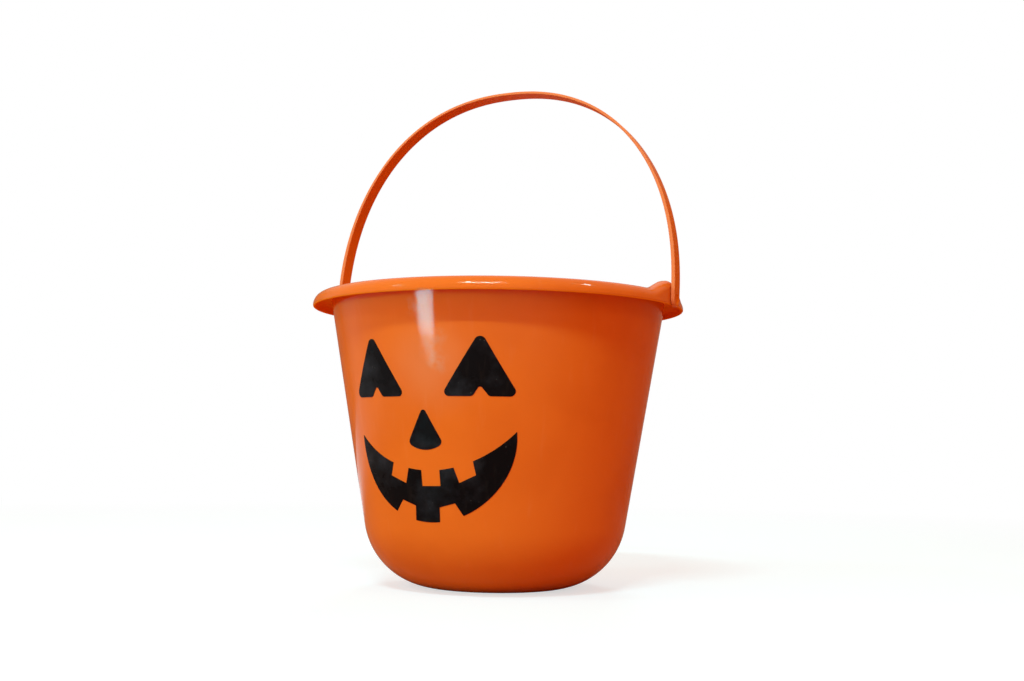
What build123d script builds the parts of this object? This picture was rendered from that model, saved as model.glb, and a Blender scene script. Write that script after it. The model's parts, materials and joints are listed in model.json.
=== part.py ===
from build123d import *
import math
import os

# A toy candy pail: a moulded bucket, a strap handle that snaps into its ears, and a face of four
# stickers. Millimetres. The origin is the middle of the base, +Z is up, the face looks to -Y, and
# the ears are at +X and -X.

overrun = 2.0              # how far a cutting body reaches past what it cuts

# Pail: one skin of even thickness, from the base up the wall and over the rim
wall = 1.6
rim_radius = 100.0         # outer edge of the rim
rim_edge_z = 148.7         # height where the rim's round ends
rim_round = 6.4            # outer quarter round of the rim
rim_turn = 3.9             # from the wall out to the crest of the rim
wall_lean = 9.78           # degrees from upright
base_fillet = 39.4         # from the base to the wall, outside
foot_width = 6.0           # flat ring that the pail stands on
base_rise = 1.2            # how far the base is raised inside that ring

# Ears: hollow lugs on the rim with a flat face for the handle
ear_radius = 32.0
ear_rise = 5.6             # above the crest of the rim
ear_inset = 0.15           # its curved flanks stand this far behind the rim's edge
ear_flat = 0.4             # and its flat face this far
ear_depth = 9.4            # from the flat face in towards the mouth
ear_round = 3.3
ear_wall = 1.8

# Handle: a strap bent to an arch, leaning back in the pose as photographed
handle_width = 8.5
handle_thick = 1.5
handle_edge_round = 0.35
handle_leg = 4.5           # straight, from the pivot up to where the arch begins
handle_rise = 115.7        # from there to the top, at mid thickness
arch_power = 2.21          # 2 is an ellipse, more is squarer
arch_steps = 16            # stretches that the arch is drawn in
handle_lean = 5.4          # degrees

# Pivots: a pin on each end of the handle, in a hole through the ear's flat wall
pivot_rise = 2.3           # above the rim's edge
pin_radius = 1.95
pin_clearance = 0.05       # radial
side_gap = 0.3             # between the ear's wall and the hub or the snap head
snap_radius = 2.6
snap_tip_radius = 1.7
snap_length = 1.6
snap_slit = 0.7
dish_radius = 2.5          # shallow recess on the hub's outer face
dish_depth = 0.5

# Stickers, measured as seen square from the front, with heights from the middle of the straight wall
film = 0.2
adhesive = 0.02
eye_base_rise = 7.8
eye_inner_x = 9.7
eye_outer_x = 46.2
eye_apex_x = 30.7
eye_height = 31.4
eye_apex_round = 2.7
eye_inner_round = 2.0
eye_outer_round = 2.4
notch_x = 28.8
notch_width = 7.8
notch_height = 4.4
notch_round = 0.9
nose_x = -0.5
nose_apex_rise = 2.9
nose_height = 17.7         # from the apex to the two lower corners
nose_width = 19.1
nose_belly = 3.4           # how far the lower edge bulges below the corners
nose_apex_round = 1.5
nose_corner_round = 2.4
mouth_tip_drop = 10.1
mouth_width = 86.6
upper_lip_drop = 18.1      # at the middle, below the tips
lower_lip_drop = 43.4
upper_tooth_root = 10.1
upper_tooth_tip = 10.0
upper_tooth_depth = 7.6
upper_tooth_pitch = 17.5   # along the lip
upper_teeth_shift = 1.3
lower_tooth_root = 12.9
lower_tooth_tip = 8.4
lower_tooth_depth = 7.3
lower_tooth_pitch = 25.4
lower_teeth_shift = -2.1

# Places that follow from the sizes
lean = math.radians(wall_lean)
crest_radius = rim_radius - rim_round
crest_z = rim_edge_z + rim_round
wall_top_radius = crest_radius - rim_turn


def wall_radius(z):
    # Outer radius of the straight wall, carried on past its ends.
    return wall_top_radius + (z - rim_edge_z) * math.tan(lean)


rim_reach = crest_radius - wall_radius(crest_z) + wall / math.cos(lean)
rim_inner_round = rim_reach * math.cos(lean) / (1 - math.sin(lean))
base_radius = wall_radius(base_fillet) - base_fillet / math.cos(lean)
panel_radius = base_radius - foot_width - base_rise
ear_face = rim_radius - ear_flat
ear_top_z = crest_z + ear_rise
ear_axis_z = ear_top_z - ear_radius
bead_z = rim_edge_z - wall / 2
ear_bottom_z = rim_edge_z - wall / 4
pivot_z = rim_edge_z + pivot_rise
handle_spring_z = pivot_z + handle_leg
handle_inner = ear_face + side_gap
half_span = handle_inner + handle_thick / 2
wall_foot_z = base_fillet * (1 - math.sin(lean))
face_z = (wall_foot_z + rim_edge_z) / 2
eye_base_z = face_z + eye_base_rise
nose_apex_z = face_z + nose_apex_rise
mouth_tip_z = face_z - mouth_tip_drop


def skin(depth):
    # One face of the pail's section, from the axis to the rim's edge. A depth of 0 is the outside,
    # and a depth of the wall's thickness is the inside.
    step_shift = depth * math.tan(math.pi / 8)
    foot = (base_radius, depth)
    fillet_centre = Vector(base_radius, base_fillet)
    wall_foot = fillet_centre + Vector(math.cos(lean), -math.sin(lean)) * (base_fillet - depth)
    rim_centre = Vector(crest_radius, crest_z - rim_inner_round)
    wall_top = rim_centre + Vector(-math.cos(lean), math.sin(lean)) * (rim_inner_round - wall + depth)
    crest = (crest_radius, crest_z - wall + depth)
    edge = (rim_radius - wall + depth, rim_edge_z)
    panel = Polyline(
        (0, base_rise + depth),
        (panel_radius + step_shift, base_rise + depth),
        (panel_radius + base_rise + step_shift, depth),
        foot,
    )
    return [
        panel,
        TangentArc(foot, wall_foot, tangent=(1, 0)),
        Line(wall_foot, wall_top),
        TangentArc(wall_top, crest, tangent=(math.sin(lean), math.cos(lean))),
        TangentArc(crest, edge, tangent=(1, 0)),
    ]


def pail_skin():
    outside = skin(0)
    inside = skin(wall)
    bead = ThreePointArc(outside[-1] @ 1, (rim_radius - wall / 2, bead_z), inside[-1] @ 1)
    axis_edge = Line(inside[0] @ 0, outside[0] @ 0)
    edges = [edge for run in [*outside, bead, *inside, axis_edge] for edge in run.edges()]
    return revolve(Plane.XZ * make_face(edges), Axis.Z)


def rim_channel():
    # The space under the rim, up to the middle of its skin.
    turn, round_over = skin(wall / 2)[-2:]
    low_z = bead_z - overrun
    sides = Polyline(round_over @ 1, (rim_radius - wall / 2, low_z), ((turn @ 0).X, low_z), turn @ 0)
    return revolve(Plane.XZ * make_face([turn, round_over, *sides.edges()]), Axis.Z)


def lug(inset, face_x, depth, corner):
    # A disc on edge with rounded corners, about an axis along X.
    radius = ear_radius - inset
    inner_x = face_x - depth
    outline = FilletPolyline(
        (inner_x, ear_axis_z),
        (inner_x, ear_axis_z + radius),
        (face_x, ear_axis_z + radius),
        (face_x, ear_axis_z),
        radius=corner,
    )
    close = Line(outline @ 1, outline @ 0)
    section = Plane.XZ * make_face([*outline.edges(), close])
    return revolve(section, Axis((0, 0, ear_axis_z), (1, 0, 0)))


def upright_cylinder(radius, bottom_z, top_z):
    height = top_z - bottom_z
    return Pos(0, 0, bottom_z) * Cylinder(
        radius, height, align=(Align.CENTER, Align.CENTER, Align.MIN)
    )


def x_cylinder(radius, start_x, end_x):
    # About the handle's pivot axis.
    length = end_x - start_x
    return Pos(start_x, 0, pivot_z) * Rot(0, 90, 0) * Cylinder(
        radius, length, align=(Align.CENTER, Align.CENTER, Align.MIN)
    )


def both_sides(shape):
    return [shape, Rot(0, 0, 180) * shape]


def pail_body():
    top_z = ear_top_z + overrun
    flanks = upright_cylinder(rim_radius - ear_inset, ear_bottom_z, top_z)
    ear = lug(0, ear_face, ear_depth, ear_round) & flanks
    inner_face = ear_face - ear_wall
    hollow = lug(ear_wall, inner_face, ear_depth - 2 * ear_wall, ear_round - ear_wall)
    hollow = hollow & upright_cylinder(rim_radius - ear_inset - ear_wall, bead_z - overrun, top_z)
    # The ear leaves the channel under the rim open, apart from its flat wall.
    channel = rim_channel()
    beyond_wall = Pos(inner_face, 0, pivot_z) * Box(
        2 * ear_wall, 2 * ear_radius, 2 * ear_radius, align=(Align.MIN, Align.CENTER, Align.CENTER)
    )
    ear = ear - hollow - (channel - beyond_wall)
    flat = Pos(ear_face, 0, pivot_z) * Box(
        2 * ear_flat, 2 * ear_radius, 2 * ear_radius, align=(Align.MIN, Align.CENTER, Align.CENTER)
    )
    hole = x_cylinder(pin_radius + pin_clearance, inner_face - overrun, ear_face + overrun)
    body = pail_skin()
    for piece in both_sides(ear):
        body = body + piece
    for cut in [hollow, flat, hole]:
        for piece in both_sides(cut):
            body = body - piece
    return body


def arch(offset):
    # The strap's curve from leg to leg, offset outwards from mid thickness.
    points = []
    for step in range(arch_steps + 1):
        angle = math.pi * step / arch_steps
        across = math.copysign(abs(math.cos(angle)) ** (2 / arch_power), math.cos(angle))
        up = max(math.sin(angle), 0) ** (2 / arch_power)
        points.append(((half_span + offset) * across, handle_spring_z + (handle_rise + offset) * up))
    return Spline(*points, tangents=[(0, 1), (0, -1)], tangent_scalars=[1, 1])


def handle_strap():
    outer = arch(handle_thick / 2)
    inner = arch(-handle_thick / 2)
    edges = [outer, inner]
    for end in (0, 1):
        outer_foot = ((outer @ end).X, pivot_z)
        inner_foot = ((inner @ end).X, pivot_z)
        edges += Polyline(outer @ end, outer_foot, inner_foot, inner @ end).edges()
    strap = extrude(Plane.XZ * make_face(edges), handle_width / 2, both=True)
    hub = x_cylinder(handle_width / 2, handle_inner, handle_inner + handle_thick)
    for piece in both_sides(hub):
        strap = strap + piece
    return fillet(strap.edges(), handle_edge_round)


def pivot_pin():
    # Points inwards, with a slit head that snaps through the ear's wall.
    head_x = ear_face - ear_wall - side_gap
    tip_x = head_x - snap_length
    shank = x_cylinder(pin_radius, head_x, handle_inner + handle_thick / 2)
    head = Pos(head_x, 0, pivot_z) * Rot(0, -90, 0) * Cone(
        snap_radius, snap_tip_radius, snap_length, align=(Align.CENTER, Align.CENTER, Align.MIN)
    )
    slit = Pos(tip_x - overrun, 0, pivot_z) * Box(
        ear_face - ear_wall / 2 - tip_x + overrun,
        2 * snap_radius + overrun,
        snap_slit,
        align=(Align.MIN, Align.CENTER, Align.CENTER),
    )
    return shank + head - slit


def carry_handle():
    handle = handle_strap()
    outer_face = handle_inner + handle_thick
    dish = x_cylinder(dish_radius, outer_face - dish_depth, outer_face + overrun)
    for piece in both_sides(pivot_pin()):
        handle = handle + piece
    for piece in both_sides(dish):
        handle = handle - piece
    pivot = Axis((0, 0, pivot_z), (1, 0, 0))
    return handle.rotate(pivot, -handle_lean)


def sticker(outline):
    # A film of even thickness on the wall, cut to an outline seen from the front.
    gap = adhesive / math.cos(lean)
    outer_gap = (adhesive + film) / math.cos(lean)
    box = outline.bounding_box()
    low_z = box.min.Y - overrun
    high_z = box.max.Y + overrun
    section = Polyline(
        (wall_radius(low_z) + gap, low_z),
        (wall_radius(low_z) + outer_gap, low_z),
        (wall_radius(high_z) + outer_gap, high_z),
        (wall_radius(high_z) + gap, high_z),
        close=True,
    )
    shell = revolve(Plane.XZ * make_face(section), Axis.Z)
    return shell & extrude(Plane.XZ * outline, rim_radius)


def eye_outline():
    notch_left = notch_x - notch_width / 2
    notch_right = notch_x + notch_width / 2
    return make_face(
        FilletPolyline(
            (eye_inner_x, eye_base_z),
            (notch_left, eye_base_z),
            (notch_x, eye_base_z + notch_height),
            (notch_right, eye_base_z),
            (eye_outer_x, eye_base_z),
            (eye_apex_x, eye_base_z + eye_height),
            radius=[eye_inner_round, notch_round, 0, notch_round, eye_outer_round, eye_apex_round],
            close=True,
        )
    )


def nose_outline():
    corner_z = nose_apex_z - nose_height
    left = (nose_x - nose_width / 2, corner_z)
    right = (nose_x + nose_width / 2, corner_z)
    apex = (nose_x, nose_apex_z)
    belly = ThreePointArc(right, (nose_x, corner_z - nose_belly), left)
    outline = make_face([Line(left, apex), Line(apex, right), belly])
    outline = fillet(outline.vertices().sort_by(Axis.Y)[-1], nose_apex_round)
    return fillet(outline.vertices().group_by(Axis.Y)[0], nose_corner_round)


def lip(drop):
    half = mouth_width / 2
    return ThreePointArc((-half, mouth_tip_z), (0, mouth_tip_z - drop), (half, mouth_tip_z))


def tooth(drop, along, root, tip, depth):
    # Square to a lip's arc: a positive depth points down, away from the arc's centre.
    radius = (mouth_width ** 2 / 4 + drop ** 2) / (2 * drop)
    past = math.copysign(overrun, depth)
    past_root = root + (root - tip) * overrun / abs(depth)
    outline = Polyline(
        (-past_root / 2, past - radius),
        (past_root / 2, past - radius),
        (tip / 2, -depth - radius),
        (-tip / 2, -depth - radius),
        close=True,
    )
    angle = math.degrees(along / radius)
    return Pos(0, mouth_tip_z - drop + radius) * Rot(0, 0, angle) * make_face(outline)


def mouth_outline():
    mouth = make_face([lip(upper_lip_drop), lip(lower_lip_drop)])
    for place in (-1, 0, 1):
        along = place * upper_tooth_pitch + upper_teeth_shift
        mouth = mouth - tooth(
            upper_lip_drop, along, upper_tooth_root, upper_tooth_tip, upper_tooth_depth
        )
    for place in (-1, 1):
        along = place * lower_tooth_pitch / 2 + lower_teeth_shift
        mouth = mouth - tooth(
            lower_lip_drop, along, lower_tooth_root, lower_tooth_tip, -lower_tooth_depth
        )
    return mouth


right_eye = sticker(eye_outline())
parts = {
    "pail_body": pail_body(),
    "carry_handle": carry_handle(),
    "right_eye_sticker": right_eye,
    "left_eye_sticker": mirror(right_eye, Plane.YZ),
    "nose_sticker": sticker(nose_outline()),
    "mouth_sticker": sticker(mouth_outline()),
}
os.makedirs("parts", exist_ok=True)
for name, shape in parts.items():
    export_step(shape, f"parts/{name}.step")
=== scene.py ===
import json
import math

import bmesh
import bpy
from mathutils import Matrix, Vector
from mathutils.geometry import delaunay_2d_cdt


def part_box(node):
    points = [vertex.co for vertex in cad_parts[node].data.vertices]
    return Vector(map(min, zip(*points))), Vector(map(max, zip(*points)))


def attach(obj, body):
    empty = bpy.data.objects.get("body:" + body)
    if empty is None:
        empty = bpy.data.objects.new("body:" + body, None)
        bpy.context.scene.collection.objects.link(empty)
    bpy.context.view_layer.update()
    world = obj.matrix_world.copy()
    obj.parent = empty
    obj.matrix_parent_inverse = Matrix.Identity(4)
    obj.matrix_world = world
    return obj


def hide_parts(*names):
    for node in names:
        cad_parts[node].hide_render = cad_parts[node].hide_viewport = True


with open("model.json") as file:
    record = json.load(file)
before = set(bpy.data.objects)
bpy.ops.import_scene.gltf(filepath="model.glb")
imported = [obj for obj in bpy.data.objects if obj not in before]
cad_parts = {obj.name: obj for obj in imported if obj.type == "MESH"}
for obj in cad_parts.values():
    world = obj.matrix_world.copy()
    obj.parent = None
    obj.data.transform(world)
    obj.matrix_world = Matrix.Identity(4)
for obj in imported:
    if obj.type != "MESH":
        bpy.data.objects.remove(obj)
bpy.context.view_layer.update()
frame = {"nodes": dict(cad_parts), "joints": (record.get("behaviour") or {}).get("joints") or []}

_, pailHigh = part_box("pail_body")
pivot = Vector(frame["joints"][0]["pos_m"])
sharpAngle = math.radians(38)    # edges that turn by more stay crisp
print("frame loaded:", ", ".join(sorted(frame["nodes"])))


# small helpers for node trees
def linkValue(socket, value):
    if isinstance(value, bpy.types.NodeSocket):
        socket.id_data.links.new(value, socket)
    else:
        socket.default_value = value


def addNode(tree, kind, inputs=None, **settings):
    node = tree.nodes.new(kind)
    for name, value in settings.items():
        setattr(node, name, value)
    for name, value in (inputs or {}).items():
        linkValue(node.inputs[name], value)
    return node


def fillNode(node, *values):
    for socket, value in zip(node.inputs, values):
        linkValue(socket, value)
    return node.outputs[0]


def treeOf(*values):
    return next(value.id_data for value in values if isinstance(value, bpy.types.NodeSocket))


def calc(operation, *values):
    return fillNode(addNode(treeOf(*values), "ShaderNodeMath", operation=operation), *values)


def plus(first, second):
    return calc("ADD", first, second)


def minus(first, second):
    return calc("SUBTRACT", first, second)


def times(first, second):
    return calc("MULTIPLY", first, second)


def mapRange(value, fromMin, fromMax, toMin=0.0, toMax=1.0):
    node = addNode(value.id_data, "ShaderNodeMapRange", interpolation_type="SMOOTHSTEP")
    return fillNode(node, value, fromMin, fromMax, toMin, toMax)


def xyz(vector):
    return addNode(vector.id_data, "ShaderNodeSeparateXYZ", {"Vector": vector}).outputs


def combine(x, y, z):
    return fillNode(addNode(treeOf(x, y, z), "ShaderNodeCombineXYZ"), x, y, z)


# geometry trees: named inputs, run on an object, then kept as a plain mesh
def treeSizes(sizes, *labels):
    # "Ear Top" takes its value from the key earTop
    return {label: sizes[label[0].lower() + label[1:].replace(" ", "")] for label in labels}


def startTree(name, values):
    tree = bpy.data.node_groups.new(name, "GeometryNodeTree")
    for way in ("OUTPUT", "INPUT"):
        tree.interface.new_socket("Geometry", in_out=way, socket_type="NodeSocketGeometry")
    for label, value in values.items():
        kind = "NodeSocket" + type(value).__name__.capitalize()    # Float, Int or Material
        tree.interface.new_socket(label, in_out="INPUT", socket_type=kind)
    return tree, tree.nodes.new("NodeGroupInput").outputs


def pointPlace(tree):
    return addNode(tree, "GeometryNodeInputPosition").outputs[0]


def movePoints(geometry, place):
    inputs = {"Geometry": geometry, "Position": place}
    return addNode(geometry.id_data, "GeometryNodeSetPosition", inputs).outputs[0]


def weldPoints(geometry, distance):
    inputs = {"Geometry": geometry, "Distance": distance}
    return addNode(geometry.id_data, "GeometryNodeMergeByDistance", inputs).outputs[0]


def endTree(geometry, material, second=None):
    tree = geometry.id_data
    smooth = addNode(tree, "GeometryNodeSetShadeSmooth", {"Geometry": geometry})
    single = addNode(tree, "GeometryNodeRealizeInstances", {"Geometry": smooth.outputs[0]})
    inputs = {"Geometry": single.outputs[0], "Material": material}
    dressed = addNode(tree, "GeometryNodeSetMaterial", inputs)
    if second:
        inputs = {"Geometry": dressed.outputs[0], "Selection": second[0], "Material": second[1]}
        dressed = addNode(tree, "GeometryNodeSetMaterial", inputs)
    addNode(tree, "NodeGroupOutput", {"Geometry": dressed.outputs[0]})


def runTree(piece, tree, values):
    modifier = piece.modifiers.new(tree.name, "NODES")
    modifier.node_group = tree
    for item in tree.interface.items_tree:
        if item.in_out == "INPUT" and item.name in values:
            modifier[item.identifier] = values[item.name]
    graph = bpy.context.evaluated_depsgraph_get()
    made = bpy.data.meshes.new_from_object(piece.evaluated_get(graph))
    piece.modifiers.remove(modifier)
    rough = piece.data
    piece.data = made
    made.name = piece.name
    bpy.data.meshes.remove(rough)
    made.set_sharp_from_angle(angle=sharpAngle)
    print(piece.name, "made:", len(made.polygons), "faces")


def meshObject(name, points, faces=()):
    mesh = bpy.data.meshes.new(name)
    mesh.from_pydata([Vector(point) for point in points], [], faces)
    piece = bpy.data.objects.new(name, mesh)
    bpy.context.scene.collection.objects.link(piece)
    return piece


def pointLayer(piece, name, values):
    piece.data.attributes.new(name, "FLOAT", "POINT").data.foreach_set("value", values)


# plane curves
def smoothShare(share):
    share = min(max(share, 0), 1)
    return share * share * (3 - 2 * share)


def arcPoints(centre, radius, start, end, steps):
    points = []
    for step in range(steps + 1):
        angle = math.radians(start + (end - start) * step / steps)
        points.append((centre[0] + radius * math.cos(angle), centre[1] + radius * math.sin(angle)))
    return points


def roundCorner(before, corner, after, radius, steps=8):
    corner = Vector(corner)
    inward, outward = (Vector(before) - corner).normalized(), (Vector(after) - corner).normalized()
    half = inward.angle(outward) / 2
    centre = corner + (inward + outward).normalized() * radius / math.sin(half)
    first = corner + inward * radius / math.tan(half) - centre
    last = corner + outward * radius / math.tan(half) - centre
    points = []
    for step in range(steps + 1):
        points.append(tuple(centre + first.slerp(last, step / steps).normalized() * radius))
    return points


def roundedLoop(corners, radii):
    points = []
    for place, corner in enumerate(corners):
        after = corners[(place + 1) % len(corners)]
        points += roundCorner(corners[place - 1], corner, after, radii[place])
    return points


# plastics and film
plasticIor = 1.49
pailLook = {
    "colour": (0.80, 0.162, 0.015, 1),
    "deepColour": (0.77, 0.150, 0.0135, 1),
    "paleColour": (0.84, 0.25, 0.09, 1),
    "rubColour": (0.72, 0.31, 0.17, 1),
    "roughness": 0.075,
    "specular": 0.075,
    "wear": ((0.0045, -0.0880, 0.1400), 0.022),    # fine pitting at the top of the front: place, reach
    "haze": ((0.0062, -0.0830, 0.1130), 0.032),    # dull bloom between the eyes
    "scuffs": [    # rubbed patches around both
        ((0.0104, -0.0851, 0.1268), 0.0060),
        ((0.0057, -0.0845, 0.1196), 0.0080),
        ((0.0095, -0.0833, 0.1148), 0.0080),
        ((-0.0030, -0.0884, 0.1420), 0.0060),
    ],
}
underPaintedBounceLook = {    # underside of the rim: rougher and without gloss, and painted lighter than the pail to stand in for bounce light
    "colour": (0.98, 0.285, 0.016, 1),
    "deepColour": (0.95, 0.270, 0.014, 1),
    "paleColour": pailLook["paleColour"],
    "roughness": 0.50,
    "specular": 0.0,
}
handleLook = {
    "colour": (0.82, 0.175, 0.008, 1),
    "deepColour": (0.79, 0.160, 0.007, 1),
    "paleColour": pailLook["paleColour"],
    # painted highlight: a paler colour along the strap's rounded edges
    "edgeHighlightColour": (0.79, 0.28, 0.14, 1),
    "roughness": 0.30,
    "specular": 0.018,
}
plasticMarks = {    # left by moulding and by use
    "cloud": (26.0, 2.0),    # noise: scale, detail, roughness, stretch along Z
    "peel": (620.0, 1.0),
    "wave": (120.0, 1.0),
    "flow": ((170.0, 3.0, 0.5, 0.1), (0.58, 0.85, 0.0, 0.16)),    # upright streaks: noise, span
    "scratch": ((150.0, 2.0, 0.5, 14), (0.62, 0.8, 0.0, 0.08)),
    "pits": ((760.0, 2.0, 0.6), (0.53, 0.63, 0.0, 0.17)),
    "patches": ((240.0, 4.0), (0.32, 0.68)),
    "cloudSpan": (0.34, 0.6),    # span: from and to, then what they become
    "hazeSpan": (0.2, 0.6, 0.12, 0.26),
    "sheenSpan": (0.3, 0.7),
    "sheenChange": (-0.02, 0.04),    # added to the roughness
    "rubRough": 0.16,
    "rubShare": 0.55,
    # strength of the painted highlight along the handle's edges
    "edgeHighlightShare": 0.52,
    "peelShare": 0.10,
    "bump": (0.2, 0.000013),    # strength, depth
}
vinylLook = {
    "colour": (0.0052, 0.0040, 0.0046, 1),
    "smudgeColour": (0.0200, 0.0200, 0.0240, 1),
    "streakColour": (0.0150, 0.0105, 0.0090, 1),
    "dustColour": (0.07, 0.068, 0.065, 1),
    "roughness": 0.27,
    "specular": 0.035,
    "smudge": (48.0, 6.0, 0.62),    # noise and spans as above
    "ripple": (140.0, 2.0),
    "rub": ((300.0, 2.0, 0.5, 0.07), (0.55, 0.78, 0.0, 0.55)),    # thin upright lines
    "dust": ((95.0, 1.0), (0.58, 0.70, 0.0, 0.6)),    # where it gathers
    "dustCells": 520.0,
    "dustPick": 0.72,    # share of the cells that stay clean
    "dustSpan": (0.08, 0.26, 1.0, 0.0),
    "smudgeSpan": (0.47, 0.72),
    "sheenSpan": (0.35, 0.7),
    "sheenChange": (-0.05, 0.12),
    "bump": (0.3, 0.00008),
}


def emptyMaterial(name):
    material = bpy.data.materials.new(name)
    material.use_nodes = True
    material.node_tree.nodes.clear()
    return material, material.node_tree


def startFinish(name, look):
    material, tree = emptyMaterial(name)
    surface = addNode(tree, "ShaderNodeBsdfPrincipled")
    surface.inputs["IOR"].default_value = plasticIor
    surface.inputs["Specular IOR Level"].default_value = look["specular"]
    addNode(tree, "ShaderNodeOutputMaterial", {"Surface": surface.outputs["BSDF"]})
    return material, surface.inputs, addNode(tree, "ShaderNodeTexCoord").outputs["Object"]


def endFinish(surface, base, roughness, height, bump):
    strength, depth = bump
    relief = {"Strength": strength, "Distance": depth, "Height": height}
    linkValue(surface["Base Color"], base)
    linkValue(surface["Roughness"], roughness)
    linkValue(surface["Normal"], addNode(height.id_data, "ShaderNodeBump", relief).outputs[0])


def noise(place, scale, detail, roughness=0.5, stretch=1):
    tree = place.id_data
    if stretch != 1:
        inputs = {"Vector": place, "Scale": (1, 1, stretch)}
        place = addNode(tree, "ShaderNodeMapping", inputs).outputs[0]
    inputs = {"Vector": place, "Scale": scale, "Detail": detail, "Roughness": roughness}
    return addNode(tree, "ShaderNodeTexNoise", inputs).outputs["Fac"]


def speckle(place, mark):
    grain, span = mark
    return mapRange(noise(place, *grain), *span)


def mixColour(factor, first, second):
    node = addNode(factor.id_data, "ShaderNodeMix", data_type="RGBA")
    for socket, value in ((0, factor), (6, first), (7, second)):    # its colour sockets
        linkValue(node.inputs[socket], value)
    return node.outputs[2]


def sheen(value, look, marks):
    low, high = (look["roughness"] + change for change in marks["sheenChange"])
    return mapRange(value, *marks["sheenSpan"], low, high)


def nearSpot(place, spot, reach):
    away = addNode(place.id_data, "ShaderNodeVectorMath", operation="DISTANCE")
    fillNode(away, place, spot)
    return mapRange(away.outputs["Value"], 0.0, reach, 1.0, 0.0)


def outerSkin(place):
    # 1 on the wall's outside, 0 on its inside
    x, y, z = xyz(place)
    away = calc("SQRT", calc("MULTIPLY_ADD", x, x, times(y, y)))
    middle = calc("MULTIPLY_ADD", z, math.tan(lean), wallRadius(0) - pail["wall"] / 2)
    return calc("GREATER_THAN", away, middle)


def mouldedPlastic(name, look):
    material, surface, place = startFinish(name, look)
    marks = plasticMarks
    cloud = noise(place, *marks["cloud"])
    base = mixColour(mapRange(cloud, *marks["cloudSpan"]), look["deepColour"], look["colour"])
    base = mixColour(speckle(place, marks["flow"]), base, look["paleColour"])
    roughness = plus(sheen(cloud, look, marks), speckle(place, marks["scratch"]))
    if "wear" in look:
        pits = times(speckle(place, marks["pits"]), nearSpot(place, *look["wear"]))
        roughness = plus(roughness, pits)
        outside = outerSkin(place)
        haze = times(nearSpot(place, *look["haze"]), outside)
        haze = times(haze, mapRange(cloud, *marks["hazeSpan"]))
        base = mixColour(haze, base, look["rubColour"])
        patches = speckle(place, marks["patches"])
        for spot, reach in look["scuffs"]:
            rub = times(times(nearSpot(place, spot, reach), patches), outside)
            roughness = calc("MULTIPLY_ADD", rub, marks["rubRough"], roughness)
            base = mixColour(times(rub, marks["rubShare"]), base, look["rubColour"])
    # painted highlight along the strap's rounded edges, read from its edge attribute
    if "edgeHighlightColour" in look:
        edge = addNode(place.id_data, "ShaderNodeAttribute", attribute_name="edge").outputs["Fac"]
        base = mixColour(times(edge, marks["edgeHighlightShare"]), base, look["edgeHighlightColour"])
    peel = times(noise(place, *marks["peel"]), marks["peelShare"])
    height = plus(peel, noise(place, *marks["wave"]))
    endFinish(surface, base, roughness, height, marks["bump"])
    return material


def vinylFilm(name, look):
    material, surface, place = startFinish(name, look)
    smudge = noise(place, *look["smudge"])
    base = mixColour(mapRange(smudge, *look["smudgeSpan"]), look["colour"], look["smudgeColour"])
    base = mixColour(speckle(place, look["rub"]), base, look["streakColour"])
    # grains of dust, gathered in a few places
    inputs = {"Vector": place, "Scale": look["dustCells"]}
    cells = addNode(place.id_data, "ShaderNodeTexVoronoi", inputs).outputs
    pick = addNode(place.id_data, "ShaderNodeSeparateColor", {"Color": cells["Color"]}).outputs[0]
    grain = mapRange(cells["Distance"], *look["dustSpan"])
    grain = times(grain, calc("GREATER_THAN", pick, look["dustPick"]))
    base = mixColour(times(grain, speckle(place, look["dust"])), base, look["dustColour"])
    endFinish(surface, base, sheen(smudge, look, look), noise(place, *look["ripple"]), look["bump"])
    return material


# pail: a turned shell with a rolled rim, and a hollow ear raised on each side
pail = {
    "rimRadius": pailHigh.y,
    "wall": 0.0016,
    "rimEdge": 0.1487,    # height of the rim's turned-down edge
    "rimRound": 0.0064,
    "rimTurn": 0.0039,    # from the wall out to the crest
    "wallLean": 9.78,    # degrees
    "baseFillet": 0.0394,
    "footWidth": 0.006,
    "baseRise": 0.0012,    # the base's panel stands off the floor
    "stepRound": 0.0007,
    "earSlope": 0.43,    # fall of its top, front and back
    "earCrown": 0.0045,    # how far the top is rounded over
    "earTop": pailHigh.z,
    "earFace": pailHigh.x,    # flat that the handle's hub turns on
    "earInset": 0.00015,
    "earDepth": 0.0094,
    "earRound": 0.0042,
    "earWall": 0.0018,
    "earBlend": 0.0024,    # soft run from the rim up to the ear
    "earFrom": 0.95,    # an ear's sides begin above this share of the rim edge's height
    "breakHalf": 0.00002,
    "pinHole": 0.0020,
    "holeSides": 40,
    "drillWalls": 3,    # the drill's length in walls of the ear
    "underBack": -0.2,    # the rim's underside faces back at the wall, or down, by more than this
    "underDown": -0.25,
    "underGap": 0.0006,    # and begins this far outside the wall
    "panelRings": (0.0, 0.4, 0.8),
    "stepSteps": 4,
    "filletSteps": 22,
    "wallSteps": 16,
    "turnSteps": 18,
    "rimSteps": 24,
    "beadSteps": 8,
    "stepsAround": 448,
    "crowding": 0.75,    # more of the steps fall at the ears
    "weld": 0.000004,
}
lean = math.radians(pail["wallLean"])
crestRadius = pail["rimRadius"] - pail["rimRound"]
crestHeight = pail["rimEdge"] + pail["rimRound"]
wallTop = crestRadius - pail["rimTurn"]


def wallRadius(height):
    return wallTop + (height - pail["rimEdge"]) * math.tan(lean)


rimReach = crestRadius - wallRadius(crestHeight) + pail["wall"] / math.cos(lean)
rimInner = rimReach * math.cos(lean) / (1 - math.sin(lean))
baseRadius = wallRadius(pail["baseFillet"]) - pail["baseFillet"] / math.cos(lean)


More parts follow.
